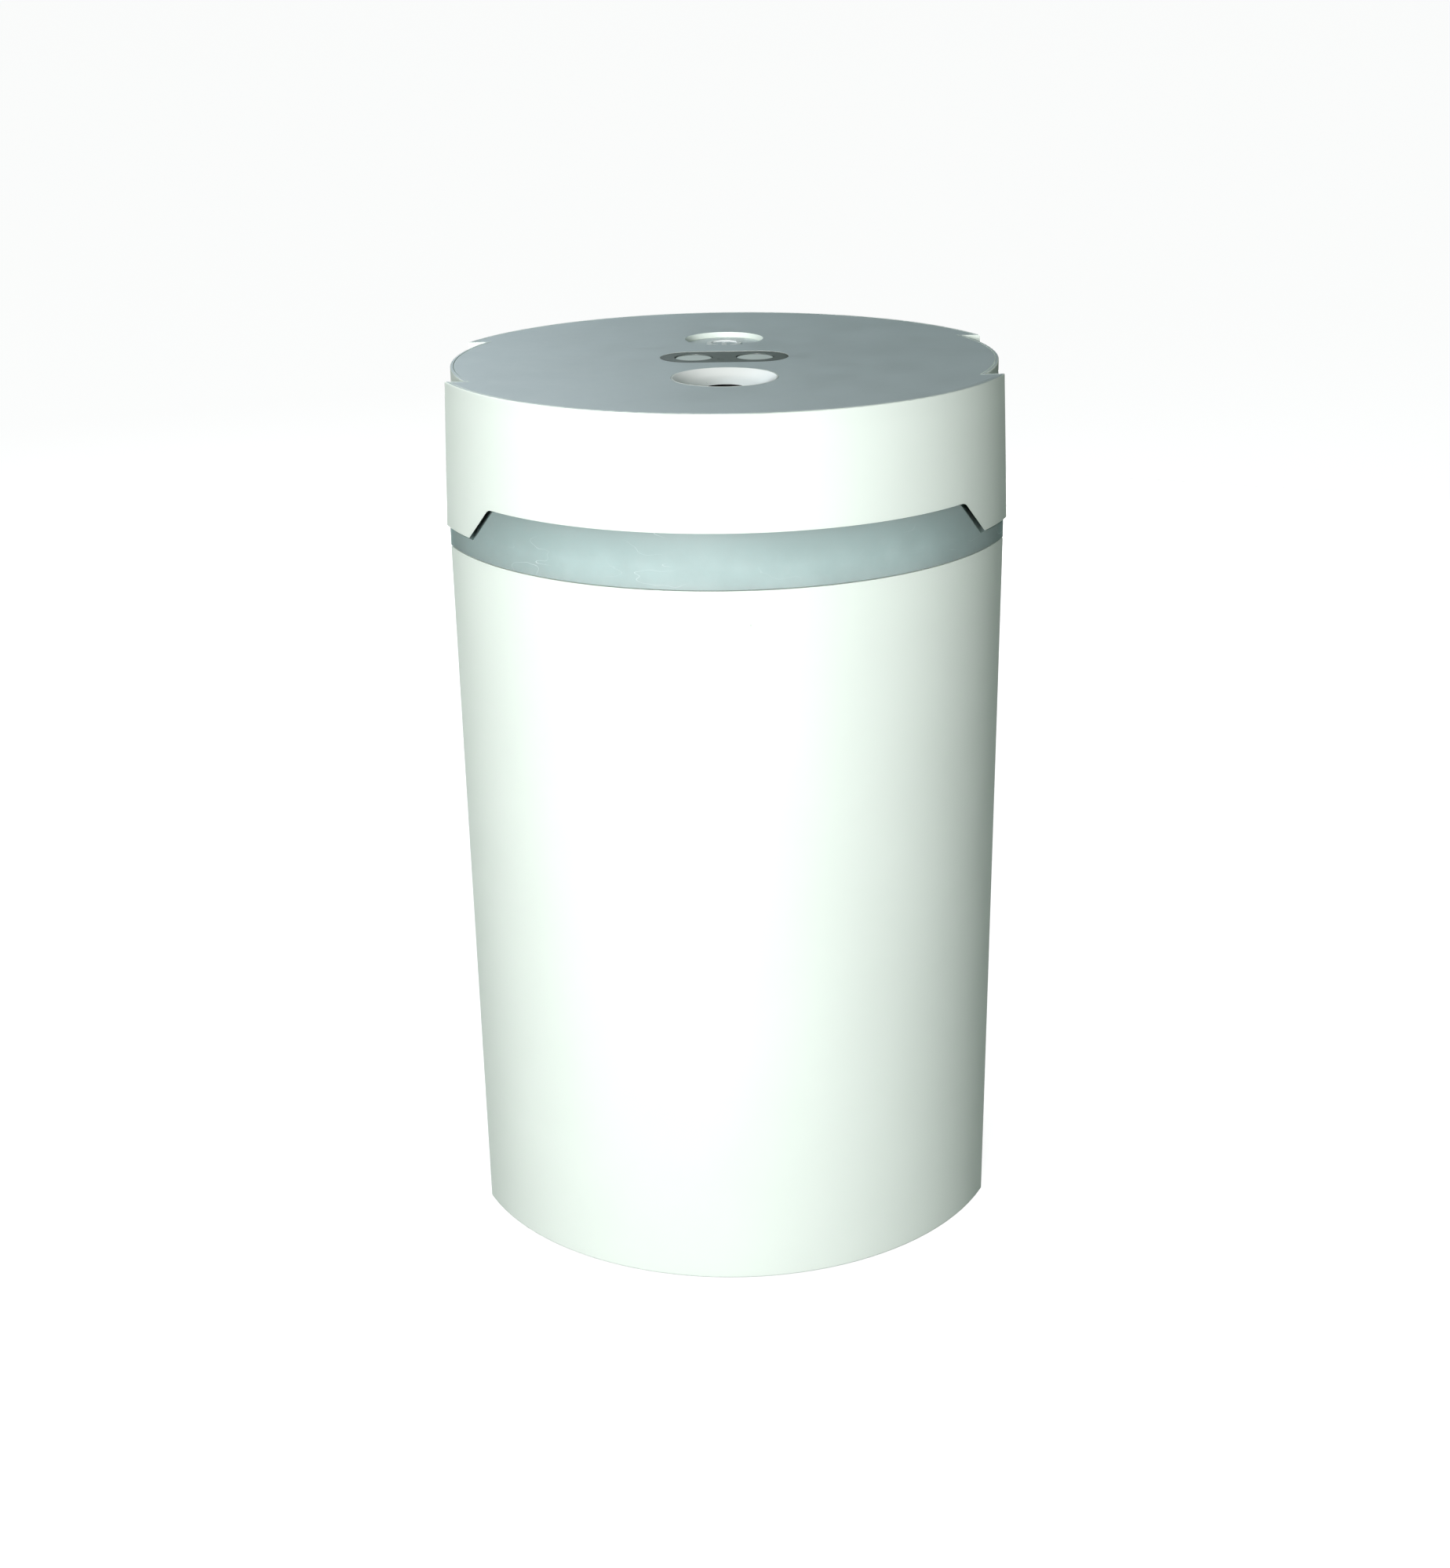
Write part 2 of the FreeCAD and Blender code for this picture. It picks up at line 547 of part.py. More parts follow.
# ---------------------------------------------------------------- wick, tube and spring
def make_wick():
    tube = washer("tube", "dims.tube_bore", "dims.tube_radius", "dims.tube_low", "dims.tube_top",
                  "dims.nozzle_y")
    cross_slots(tube, "dims.slot_half", "dims.slot_low", "dims.slot_high", "dims.reach")
    node(tube, "wick_tube")
    cap_inner = "dims.tube_radius + dims.end_cap_fit"
    end_cap = turned("end_cap", [
        ("dims.water_hole_radius", "dims.end_cap_low"),
        ("dims.end_cap_radius", "dims.end_cap_low"),
        ("dims.end_cap_radius", "dims.end_cap_top"),
        (cap_inner, "dims.end_cap_top"),
        (cap_inner, "dims.tube_low"),
        ("dims.water_hole_radius", "dims.tube_low"),
    ], "dims.nozzle_y")
    node(end_cap, "wick_tube_cap")
    wick = turned("wick_stick", [("0", "dims.wick_low"), ("dims.wick_radius", "dims.wick_low"),
                                 ("dims.wick_radius", "dims.wick_top"), ("0", "dims.wick_top")],
                  "dims.nozzle_y")
    node(wick, "wick")

    coil = doc.addObject("PartDesign::Body", "coil")
    wire = sketch_on(coil, "XZ_Plane", "coil_wire")
    wire_radius = value("dims.spring_wire")
    wire_centre = Vector(value("dims.spring_radius"), value("dims.tube_low") + 2 * wire_radius, 0)
    wire.addGeometry(Part.Circle(wire_centre, Vector(0, 0, 1), wire_radius))
    helix = coil.newObject("PartDesign::AdditiveHelix", "coil_helix")
    helix.Profile = wire
    helix.ReferenceAxis = (wire, ["V_Axis"])
    helix.Mode = 0
    helix.setExpression("Pitch", "dims.spring_pitch")
    helix.setExpression("Height", "dims.wick_low - dims.tube_low - 4 * dims.spring_wire")
    coil.Tip = helix
    at(coil, y="dims.nozzle_y")
    node(coil, "wick_spring")


# ---------------------------------------------------------------- keys and power button
def plunger_outline(radius, face, flange_radius):
    """Push piece: a face, a retaining flange under the deck and a short stem."""
    flange_low = "dims.stem_low + dims.stem_height"
    flange_top = "dims.deck_low - dims.flange_gap"
    return [
        ("0", "dims.stem_low"),
        ("dims.stem_radius", "dims.stem_low"),
        ("dims.stem_radius", flange_low),
        (flange_radius, flange_low),
        (flange_radius, flange_top),
        (radius, flange_top),
        (radius, face),
        ("0", face),
    ]


def make_controls():
    face = "dims.total_height - dims.key_sink"
    face_height = value(face)
    key_outline = plunger_outline("dims.key_radius", face, "dims.key_radius + dims.key_flange")
    for name, side in (("mode_key", -1), ("light_key", 1)):
        key = turned(name + "_turned", key_outline, "dims.key_y", f"{side} * dims.key_x")
        round_rings(key, value("dims.key_round"), lambda r, z: abs(z - face_height) < 0.01)
        node(key, name)

    icon_low = "dims.button_face - dims.icon_sunk"
    icon_high = "dims.button_face + dims.icon_proud"
    above = "dims.button_face + 1"
    below = "dims.button_face - 1"
    disc = rod("icon_outer", "dims.icon_outer", icon_low, icon_high, y="dims.button_y")
    centre = rod("icon_inner", "dims.icon_inner", below, above, y="dims.button_y")
    gap = brick("icon_gap", ("-dims.icon_gap_half", "dims.icon_gap_half"),
                ("dims.button_y - dims.icon_outer - 1", "dims.button_y"), (below, above))
    bar = brick("icon_bar", ("-dims.icon_bar_half", "dims.icon_bar_half"),
                ("dims.button_y - dims.icon_bar_low", "dims.button_y - dims.icon_bar_high"),
                (icon_low, icon_high))
    icon = fuse("icon", cut("icon_arc", cut("icon_ring", disc, centre), gap), bar)
    node(icon, "power_icon")
    button_outline = plunger_outline("dims.button_radius", "dims.button_face",
                                     "dims.button_radius + dims.button_flange")
    plug = turned("button_turned", button_outline, "dims.button_y")
    node(cut("button_cut", plug, icon), "power_button")


# ---------------------------------------------------------------- circuit board and its parts
def make_board():
    disc = rod("board_disc", "dims.board_radius", "dims.board_low", BOARD_TOP)
    keep = brick("board_keep", ("-dims.reach", "dims.reach"), ("dims.board_front", "dims.reach"),
                 ("dims.board_low - 1", f"{BOARD_TOP} + 1"))
    tongue = brick("board_tongue", ("-dims.tongue_half", "dims.tongue_half"),
                   ("dims.button_y", "dims.tongue_back"), ("dims.board_low", BOARD_TOP))
    holes = [rod("board_hole", "dims.board_screw_radius + 1.5 * dims.running", "dims.board_low - 1",
                 f"{BOARD_TOP} + 1", str(x), str(y)) for x, y in BOARD_POSTS]
    outline = fuse("board_outline", common("board_half", disc, keep), tongue)
    node(cut("board_cut", outline, fuse("board_holes", *holes)), "circuit_board")

    switches = []
    shoulder = "dims.switch_top - dims.plunger"
    for x, y in (("-dims.key_x", "dims.key_y"), ("dims.key_x", "dims.key_y"), ("0", "dims.button_y")):
        case = brick("switch_case", (f"{x} - dims.switch_half", f"{x} + dims.switch_half"),
                     (f"{y} - dims.switch_half", f"{y} + dims.switch_half"), (BOARD_TOP, shoulder))
        tip = rod("switch_tip", "dims.plunger_radius", shoulder, "dims.switch_top", x, y)
        switches.append(fuse("switch", case, tip))
    node(group("switch_group", switches), "tact_switches")

    chip = brick("chip", ("dims.chip_x - dims.chip_half_length", "dims.chip_x + dims.chip_half_length"),
                 ("dims.chip_y - dims.chip_half_width", "dims.chip_y + dims.chip_half_width"),
                 (BOARD_TOP, f"{BOARD_TOP} + dims.chip_height"))
    node(chip, "driver_chip")
    coil = rod("coil_pot", "dims.coil_radius", BOARD_TOP, f"{BOARD_TOP} + dims.coil_height",
               "dims.coil_x", "dims.coil_y")
    node(coil, "inductor")
    node(rod("can", "dims.can_radius", BOARD_TOP, f"{BOARD_TOP} + dims.can_height",
             y="dims.can_y"), "capacitor")
    pins = [rod("link_pin", "dims.pin_radius", "dims.reflector_top + dims.led_board_thick",
                "dims.board_low", f"{place} * dims.pin_pitch", "dims.pin_y") for place in (-1, 0, 1)]
    node(group("link_pins", pins), "led_link_pins")

    shell = inlet_bar("inlet_shell", "0", "dims.inlet_front", "dims.inlet_face")
    mouth = inlet_bar("inlet_mouth", "-dims.inlet_wall", "dims.inlet_front + dims.inlet_back",
                      "dims.inlet_face + 1")
    blade = brick("inlet_blade", ("-dims.blade_half_width", "dims.blade_half_width"),
                  ("dims.inlet_front", "dims.inlet_face - dims.blade_sunk"),
                  (f"{INLET_Z} - dims.blade_half_height", f"{INLET_Z} + dims.blade_half_height"))
    node(fuse("inlet", cut("inlet_hollow", shell, mouth), blade), "usb_socket")


def make_screws():
    chassis_screws = []
    for x, y in boss_points():
        shank = rod("chassis_shank", "dims.screw_radius", "dims.ring_low", "dims.screw_top", x, y)
        head = rod("chassis_head", "dims.screw_head_radius", "dims.ring_low - dims.screw_head",
                   "dims.ring_low", x, y)
        slot = cross_slot("chassis_drive", x, y, "dims.ring_low - dims.screw_head", 1)
        chassis_screws.append(cut("chassis_screw", fuse("chassis_blank", shank, head), slot))
    node(group("chassis_screw_group", chassis_screws), "chassis_screws")
    board_screws = []
    for x, y in BOARD_POSTS:
        head_top = f"{BOARD_TOP} + dims.board_screw_head"
        shank = rod("board_shank", "dims.board_screw_radius", "dims.board_screw_low", BOARD_TOP,
                    str(x), str(y))
        head = rod("board_head", "dims.board_screw_head_radius", BOARD_TOP, head_top, str(x), str(y))
        slot = cross_slot("board_drive", str(x), str(y), head_top, -1)
        board_screws.append(cut("board_screw", fuse("board_blank", shank, head), slot))
    node(group("board_screw_group", board_screws), "board_screws")


def cross_slot(name, x, y, face, direction):
    """Cross recess into a screw head from its face, upwards (1) or downwards (-1)."""
    inside = f"{face} + {direction} * dims.drive_depth"
    outside = f"{face} - {direction}"
    heights = (outside, inside) if direction > 0 else (inside, outside)
    halves = ("dims.drive_half", "dims.drive_slot_half")
    arms = []
    for along, across in (halves, halves[::-1]):
        arms.append(brick(name + "_arm", (f"{x} - {along}", f"{x} + {along}"),
                          (f"{y} - {across}", f"{y} + {across}"), heights))
    return fuse(name, *arms)


for make in (make_tank, make_cap, make_top_plate, make_light_ring, make_chassis, make_nozzle,
             make_disc_leads, make_wick, make_controls, make_board, make_screws):
    make()
doc.recompute()

# ---------------------------------------------------------------- check and write
for item in doc.Objects:
    if "Invalid" in item.State or "Error" in item.State:
        raise RuntimeError(f"{item.Name} failed: {item.State}")
os.makedirs("parts", exist_ok=True)
for item in nodes:
    if item.Shape.isNull() or not item.Shape.isValid():
        raise RuntimeError(f"{item.Label} has a bad shape")
    item.Shape.exportStep(f"parts/{item.Label}.step")
    box = item.Shape.BoundBox
    print(f"{item.Label:18} solids {len(item.Shape.Solids)}  volume {item.Shape.Volume:10.1f}"
          f"  z {box.ZMin:7.2f} {box.ZMax:7.2f}")
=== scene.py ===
"""Looks for a tabletop mist-type air purifier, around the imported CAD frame.

All lengths are in metres. The origin is on the floor under the tank's axis, and the front faces -Y.
Colours are linear.
"""

import math

import bpy
from mathutils import Euler, Matrix, Vector


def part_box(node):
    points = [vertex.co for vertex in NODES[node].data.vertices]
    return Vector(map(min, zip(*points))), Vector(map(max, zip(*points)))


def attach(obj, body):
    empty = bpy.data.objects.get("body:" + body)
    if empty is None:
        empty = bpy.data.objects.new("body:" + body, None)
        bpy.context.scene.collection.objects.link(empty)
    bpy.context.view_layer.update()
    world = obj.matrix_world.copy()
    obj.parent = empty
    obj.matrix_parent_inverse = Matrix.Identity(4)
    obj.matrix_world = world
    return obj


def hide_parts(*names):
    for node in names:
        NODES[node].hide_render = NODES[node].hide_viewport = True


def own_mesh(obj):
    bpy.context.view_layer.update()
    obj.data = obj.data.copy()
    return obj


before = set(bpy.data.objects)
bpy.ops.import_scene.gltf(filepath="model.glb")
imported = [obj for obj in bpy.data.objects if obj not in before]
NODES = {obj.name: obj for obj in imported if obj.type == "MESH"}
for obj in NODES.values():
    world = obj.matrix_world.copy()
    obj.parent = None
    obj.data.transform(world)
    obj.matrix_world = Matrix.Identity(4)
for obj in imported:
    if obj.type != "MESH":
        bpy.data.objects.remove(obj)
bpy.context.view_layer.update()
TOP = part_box("cap_shell")[1].z
CAP_TOP_RADIUS = 0.042
SHELL_WHITE = (0.84, 0.915, 0.85)
# Painted shade for the flat top: the cool grey that the white plastic shows there in dimmer light.
TOP_SHADE_GREY = (0.60, 0.675, 0.70)


# ---------------------------------------------------------------- material helpers
class Look:
    """A Principled material with its node tree at hand."""

    def __init__(self, name, colour, roughness, metallic=0.0):
        self.material = bpy.data.materials.new(name)
        self.material.use_nodes = True
        self.tree = self.material.node_tree
        self.shader = self.tree.nodes["Principled BSDF"]
        self.set("Base Color", (*colour, 1.0))
        self.set("Roughness", roughness)
        self.set("Metallic", metallic)
        coordinates = self.node("ShaderNodeTexCoord")
        self.place = coordinates.outputs["Object"]
        self.facing = coordinates.outputs["Normal"]

    def set(self, socket, value):
        self.shader.inputs[socket].default_value = value

    def node(self, kind, **settings):
        made = self.tree.nodes.new(kind)
        for key, value in settings.items():
            setattr(made, key, value)
        return made

    def link(self, source, target):
        self.tree.links.new(source, target)

    def math(self, operation, first, second=None):
        """One arithmetic step on sockets or plain numbers."""
        step = self.node("ShaderNodeMath", operation=operation)
        for number, source in enumerate((first, second)):
            if isinstance(source, (int, float)):
                step.inputs[number].default_value = source
            elif source is not None:
                self.link(source, step.inputs[number])
        return step.outputs[0]

    def axes(self, vector):
        """The X, Y and Z of a vector."""
        split = self.node("ShaderNodeSeparateXYZ")
        self.link(vector, split.inputs[0])
        return split.outputs["X"], split.outputs["Y"], split.outputs["Z"]

    def diagonal(self, first, second):
        """Length of the diagonal across two sides."""
        squares = [self.math("MULTIPLY", side, side) for side in (first, second)]
        return self.math("SQRT", self.math("ADD", *squares))

    def milky(self, weight, depth):
        """Light that scatters inside, to a depth for each of red, green and blue."""
        self.set("Subsurface Weight", weight)
        self.set("Subsurface Radius", depth)
        self.set("Subsurface Scale", 1.0)
        return self

    def stretched(self, scale):
        """Object coordinates scaled by an amount for each axis."""
        mapping = self.node("ShaderNodeMapping")
        mapping.inputs["Scale"].default_value = scale
        self.link(self.place, mapping.inputs["Vector"])
        return mapping.outputs["Vector"]

    def noise(self, scale, detail=3.0, roughness=0.5, vector=None):
        texture = self.node("ShaderNodeTexNoise")
        texture.inputs["Scale"].default_value = scale
        texture.inputs["Detail"].default_value = detail
        texture.inputs["Roughness"].default_value = roughness
        self.link(vector or self.place, texture.inputs["Vector"])
        return texture.outputs["Fac"]

    def cells(self, scale):
        """Distance from the middle of the nearest of many scattered cells."""
        texture = self.node("ShaderNodeTexVoronoi")
        texture.inputs["Scale"].default_value = scale
        self.link(self.place, texture.inputs["Vector"])
        return texture.outputs["Distance"]

    def ramp(self, source, stops):
        """Colours at positions along a grey source."""
        ramp = self.node("ShaderNodeValToRGB")
        elements = ramp.color_ramp.elements
        while len(elements) < len(stops):
            elements.new(0.5)
        for element, (position, colour) in zip(elements, stops):
            element.position = position
            element.color = (*colour, 1.0)
        self.link(source, ramp.inputs["Fac"])
        return ramp.outputs["Color"]

    def spread(self, source, low, high, source_low=0.3, source_high=0.7):
        """Map a source's range to low..high; the given range suits a noise texture."""
        span = self.node("ShaderNodeMapRange")
        span.inputs["From Min"].default_value = source_low
        span.inputs["From Max"].default_value = source_high
        span.inputs["To Min"].default_value = low
        span.inputs["To Max"].default_value = high
        self.link(source, span.inputs["Value"])
        return span.outputs["Result"]

    def paint(self, source, stops):
        """Base colour from a grey source."""
        self.link(self.ramp(source, stops), self.shader.inputs["Base Color"])
        return self

    def overpaint(self, factor, colour):
        """Cover a painted base colour by a grey factor; the colour is three numbers or a socket."""
        base = self.shader.inputs["Base Color"]
        mix = self.node("ShaderNodeMix", data_type="RGBA")
        under, over, result = mix.inputs[6], mix.inputs[7], mix.outputs[2]
        self.link(factor, mix.inputs["Factor"])
        self.link(base.links[0].from_socket, under)
        if isinstance(colour, tuple):
            over.default_value = (*colour, 1.0)
        else:
            self.link(colour, over)
        self.link(result, base)
        return self

    def sheen_spread(self, scale, low, high):
        """Roughness that wanders between two values."""
        worn = self.noise(scale, 4.0, 0.6)
        self.link(self.spread(worn, low, high), self.shader.inputs["Roughness"])
        return self

    def grain(self, source, strength, depth):
        """Surface relief from a texture, depth in metres."""
        bump = self.node("ShaderNodeBump")
        bump.inputs["Strength"].default_value = strength
        bump.inputs["Distance"].default_value = depth
        self.link(source, bump.inputs["Height"])
        self.link(bump.outputs["Normal"], self.shader.inputs["Normal"])
        return self


def scaled(colour, factor):
    """The colour made lighter or darker, with no channel past full."""
    return tuple(min(1.0, channel * factor) for channel in colour)


# ---------------------------------------------------------------- materials
def moulded(name, colour, roughness, speckle=0.02, texture_depth=6e-6):
    """Satin injection-moulded plastic: faint tone drift, fine spark texture, uneven gloss."""
    look = Look(name, colour, roughness)
    drift = look.noise(38.0, 4.0, 0.55)
    look.paint(drift, [(0.35, scaled(colour, 1.0 - speckle)), (0.65, scaled(colour, 1.0 + speckle))])
    look.sheen_spread(160.0, roughness - 0.05, roughness + 0.07)
    look.grain(look.noise(2600.0, 3.0, 0.6), 0.35, texture_depth)
    return look


def white_shell(name="white_shell"):
    """White shell plastic with a few dust specks caught in the moulding."""
    look = moulded(name, SHELL_WHITE, 0.36, 0.012)
    speck = look.spread(look.cells(46.0), 0.7, 0.0, 0.008, 0.013)
    look.overpaint(speck, (0.45, 0.5, 0.45))
    return look.milky(0.06, (0.004, 0.005, 0.004))


def shade_painted_top(name, lowest):
    """White plastic with painted shade: its upward faces above a height are painted a cool grey, for the
    dimmer light on the flat top.
    """
    look = white_shell(name)
    facing_up = look.axes(look.facing)[2]
    height = look.axes(look.place)[2]
    # Painted shade: cool grey on upward-facing surfaces above the given height.
    upward = look.spread(facing_up, 0.0, 1.0, 0.80, 0.95)
    high = look.spread(height, 0.0, 1.0, lowest - 1e-5, lowest)
    cloud = look.noise(38.0, 4.0, 0.55)
    top_shade_colour = look.ramp(cloud, [(0.35, scaled(TOP_SHADE_GREY, 0.98)), (0.65, scaled(TOP_SHADE_GREY, 1.02))])
    return look.overpaint(look.math("MULTIPLY", upward, high), top_shade_colour)


def nozzle_white():
    """White cup with painted shade: inside it, below the rim of the mist hole, it is painted near black.
    """
    look = moulded("nozzle_white", (0.96, 0.975, 0.96), 0.3)
    low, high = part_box("nozzle_cup")
    rim = high.z - 0.00156
    x, y, z = look.axes(look.place)
    across = look.math("SUBTRACT", y, 0.5 * (low.y + high.y))
    from_axis = look.diagonal(x, across)
    # Painted shade: the chamber below the mist hole's rim is painted near black, where little light
    # reaches.
    inside = look.spread(from_axis, 1.0, 0.0, 0.92 * high.x, 0.94 * high.x)
    below = look.spread(z, 1.0, 0.0, rim - 4e-5, rim)
    return look.overpaint(look.math("MULTIPLY", inside, below), (0.02, 0.024, 0.022))


def frosted_ring():
    """Milky blue-green diffuser, clouded inside, with hairline handling scratches; painted shadow
    darkens its top and painted shade its sides.
    """
    colour = (0.415, 0.53, 0.525)
    look = Look("frosted_ring", colour, 0.42).milky(0.35, (0.004, 0.006, 0.006))
    cloud = look.noise(120.0, 5.0, 0.6)
    look.paint(cloud, [(0.3, scaled(colour, 0.92)), (0.7, scaled(colour, 1.06))])
    low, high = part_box("light_ring")
    x, _, z = look.axes(look.place)
    # Painted shadow: darker towards the top, under the overhanging cap skirt.
    top_painted_shadow = look.spread(z, 0.0, 1.0, low.z + 0.4 * (high.z - low.z), high.z)
    look.overpaint(top_painted_shadow, scaled(colour, 0.74))
    # Painted shade: much darker towards the sides, where the ring sits under the skirts and turns from
    # the light.
    side_painted_shade = look.spread(look.math("ABSOLUTE", x), 0.0, 0.5, 0.55 * high.x, high.x)
    look.overpaint(side_painted_shade, scaled(colour, 0.35))
    hair_field = look.noise(9.0, 2.0, 0.5, look.stretched((14.0, 14.0, 34.0)))
    from_hair = look.math("ABSOLUTE", look.math("SUBTRACT", hair_field, 0.5))
    hair = look.spread(from_hair, 0.8, 0.0, 0.0010, 0.0032)
    patches = look.spread(look.noise(70.0, 2.0), 0.0, 1.0, 0.52, 0.60)
    look.overpaint(look.math("MULTIPLY", hair, patches), (0.80, 0.88, 0.88))
    look.sheen_spread(300.0, 0.34, 0.5)
    look.grain(look.noise(1500.0, 4.0, 0.65), 0.4, 1.2e-5)
    return look


def dark_bezel():
    """Smooth dark plastic with painted shade, darkest along the rim of the pill."""
    look = moulded("dark_bezel", (0.10, 0.122, 0.116), 0.3, 0.12, 4e-6)
    low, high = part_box("key_bezel")
    radius = 0.5 * (high.y - low.y)
    x, y, _ = look.axes(look.place)
    past_spine = look.math("SUBTRACT", look.math("ABSOLUTE", x), high.x - radius)
    along = look.math("MAXIMUM", past_spine, 0.0)
    across = look.math("SUBTRACT", y, 0.5 * (low.y + high.y))
    from_spine = look.diagonal(along, across)
    # Painted shade: darker along the rounded rim of the pill than on its lit middle.
    rim = look.spread(from_spine, 0.0, 1.0, 0.86 * radius, 0.97 * radius)
    look.overpaint(rim, (0.045, 0.055, 0.05))
    look.set("Coat Weight", 0.3)
    look.set("Coat Roughness", 0.12)
    return look


def steel(name="steel", colour=(0.62, 0.62, 0.61)):
    """Bright metal with fine level streaks round it."""
    look = Look(name, colour, 0.28, 1.0)
    streaks = look.noise(420.0, 3.0, 0.6, look.stretched((1.0, 1.0, 9.0)))
    look.paint(streaks, [(0.3, scaled(colour, 0.9)), (0.7, scaled(colour, 1.08))])
    look.link(look.spread(streaks, 0.2, 0.38), look.shader.inputs["Roughness"])
    look.grain(streaks, 0.25, 5e-6)
    return look


def mesh_steel():
    """Thin sheet with fine, scattered dark pores."""
    look = Look("mesh_steel", (0.6, 0.6, 0.58), 0.3, 1.0)
    pores = look.cells(2600.0)
    look.paint(pores, [(0.18, (0.08, 0.08, 0.08)), (0.34, (0.62, 0.62, 0.6))])
    return look.grain(pores, 0.5, 2e-5)


def silicone():
    """Soft matte rubber, clouded and faintly translucent."""
    look = Look("silicone", (0.74, 0.75, 0.74), 0.58)
    cloud = look.noise(210.0, 4.0, 0.6)
    look.paint(cloud, [(0.3, (0.70, 0.71, 0.70)), (0.7, (0.78, 0.79, 0.78))])
    look.sheen_spread(500.0, 0.5, 0.68)
    look.grain(look.noise(1800.0, 3.0), 0.3, 1e-5)
    return look.milky(0.15, (0.003, 0.003, 0.003))


def board_green():
    """Solder mask with copper tracks showing through as paler lines."""
    look = Look("board_green", (0.02, 0.16, 0.07), 0.32)
    bricks = look.node("ShaderNodeTexBrick")
    bricks.inputs["Scale"].default_value = 260.0
    bricks.inputs["Mortar Size"].default_value = 0.03
    bricks.inputs["Color1"].default_value = (0.015, 0.13, 0.055, 1.0)
    bricks.inputs["Color2"].default_value = (0.02, 0.17, 0.07, 1.0)
    bricks.inputs["Mortar"].default_value = (0.07, 0.32, 0.14, 1.0)
    look.link(look.place, bricks.inputs["Vector"])
    look.link(bricks.outputs["Color"], look.shader.inputs["Base Color"])
    look.sheen_spread(400.0, 0.26, 0.4)
    look.grain(bricks.outputs["Fac"], 0.3, 3e-5)
    return look


def cotton():
    """Bonded cotton stick: fibres run lengthwise, with a soft fuzzy sheen."""
    look = Look("cotton", (0.84, 0.82, 0.76), 0.92)
    fibres = look.noise(900.0, 5.0, 0.7, look.stretched((1.0, 1.0, 0.12)))
    look.paint(fibres, [(0.3, (0.70, 0.68, 0.61)), (0.7, (0.90, 0.88, 0.83))])
    look.set("Sheen Weight", 0.4)
    look.set("Sheen Roughness", 0.6)
    look.link(look.spread(fibres, 0.85, 1.0), look.shader.inputs["Roughness"])
    look.grain(fibres, 0.8, 1.5e-4)
    return look


def ceramic():
    """Fired ceramic ring with a silvered, slightly uneven face."""
    look = Look("ceramic", (0.8, 0.77, 0.7), 0.35)
    cloud = look.noise(700.0, 4.0, 0.6)
    look.paint(cloud, [(0.3, (0.74, 0.71, 0.64)), (0.7, (0.84, 0.81, 0.75))])
    look.sheen_spread(800.0, 0.28, 0.5)
    look.grain(cloud, 0.3, 1e-5)
    return look


def milky_tube():
    """Tube plastic that a little light passes through."""
    look = moulded("milky_tube", (0.76, 0.81, 0.81), 0.3, 0.02)
    return look.milky(0.3, (0.003, 0.004, 0.004))


def dress(look, *names):
    """Give a look to CAD nodes by name."""
    for name in names:
        data = NODES[name].data
        data.materials.clear()
        data.materials.append(look.material)


dress(white_shell(), "tank_body", "head_chassis", "wick_tube_cap")
# Cap, top plate and power button: white plastic with painted shade on their upward faces.
dress(shade_painted_top("shade_painted_top_shell", TOP - 0.0002), "cap_shell", "top_plate")
dress(shade_painted_top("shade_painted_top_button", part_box("power_icon")[0].z), "power_button")
dress(nozzle_white(), "nozzle_cup")
dress(moulded("key_grey", (0.74, 0.80, 0.77), 0.45, 0.10), "mode_key", "light_key")
dress(moulded("icon_white", (0.9, 0.93, 0.93), 0.35), "power_icon")
dress(dark_bezel(), "key_bezel")
dress(frosted_ring(), "light_ring")
dress(silicone(), "foot_ring", "tank_seal", "upper_disc_seal", "lower_disc_seal")
STEEL = steel()
dress(STEEL, "wick_spring", "usb_socket", "chassis_screws", "board_screws")
dress(mesh_steel(), "mesh_disc")
dress(ceramic(), "piezo_ring")
dress(board_green(), "circuit_board", "led_board")
dress(moulded("switch_black", (0.03, 0.03, 0.033), 0.45, 0.2), "tact_switches", "driver_chip")
dress(moulded("ferrite", (0.08, 0.08, 0.082), 0.6, 0.25), "inductor")
dress(steel("can_metal", (0.78, 0.78, 0.79)), "capacitor")
dress(steel("pin_metal", (0.83, 0.68, 0.36)), "led_link_pins")
dress(moulded("led_chip", (0.9, 0.84, 0.45), 0.4, 0.05), "ring_leds")
dress(moulded("wire_red", (0.5, 0.05, 0.04), 0.4, 0.05), "disc_leads")
dress(milky_tube(), "wick_tube")
dress(cotton(), "wick")


# ---------------------------------------------------------------- wick spring
SPRING_WIRE = 0.00035
SPRING_PITCH = 0.0013


def coil_mesh(radius, centre_y, bottom, rise):
    """Wire wound upward into a helix, from a point where its middle is at the bottom height."""
    steps_per_turn = 36
    sides = 10
    turns = rise / SPRING_PITCH
    steps = round(steps_per_turn * turns)
    vertices = []
    for step in range(steps + 1):
        wound = 2.0 * math.pi * turns * step / steps
        for side in range(sides):
            angle = 2.0 * math.pi * side / sides
            out = radius + SPRING_WIRE * math.cos(angle)
            height = bottom + rise * step / steps + SPRING_WIRE * math.sin(angle)
            vertices.append((out * math.cos(wound), centre_y + out * math.sin(wound), height))
    faces = []
    for step in range(steps):
        for side in range(sides):
            this = step * sides + side
            beside = step * sides + (side + 1) % sides
            faces.append((this, this + sides, beside + sides, beside))
    faces.append(tuple(range(sides)))
    faces.append(tuple(range(steps * sides + sides - 1, steps * sides - 1, -1)))
    mesh = bpy.data.meshes.new("coil")
    mesh.from_pydata(vertices, [], faces)
    mesh.polygons.foreach_set("use_smooth", [True] * len(faces))
    return mesh


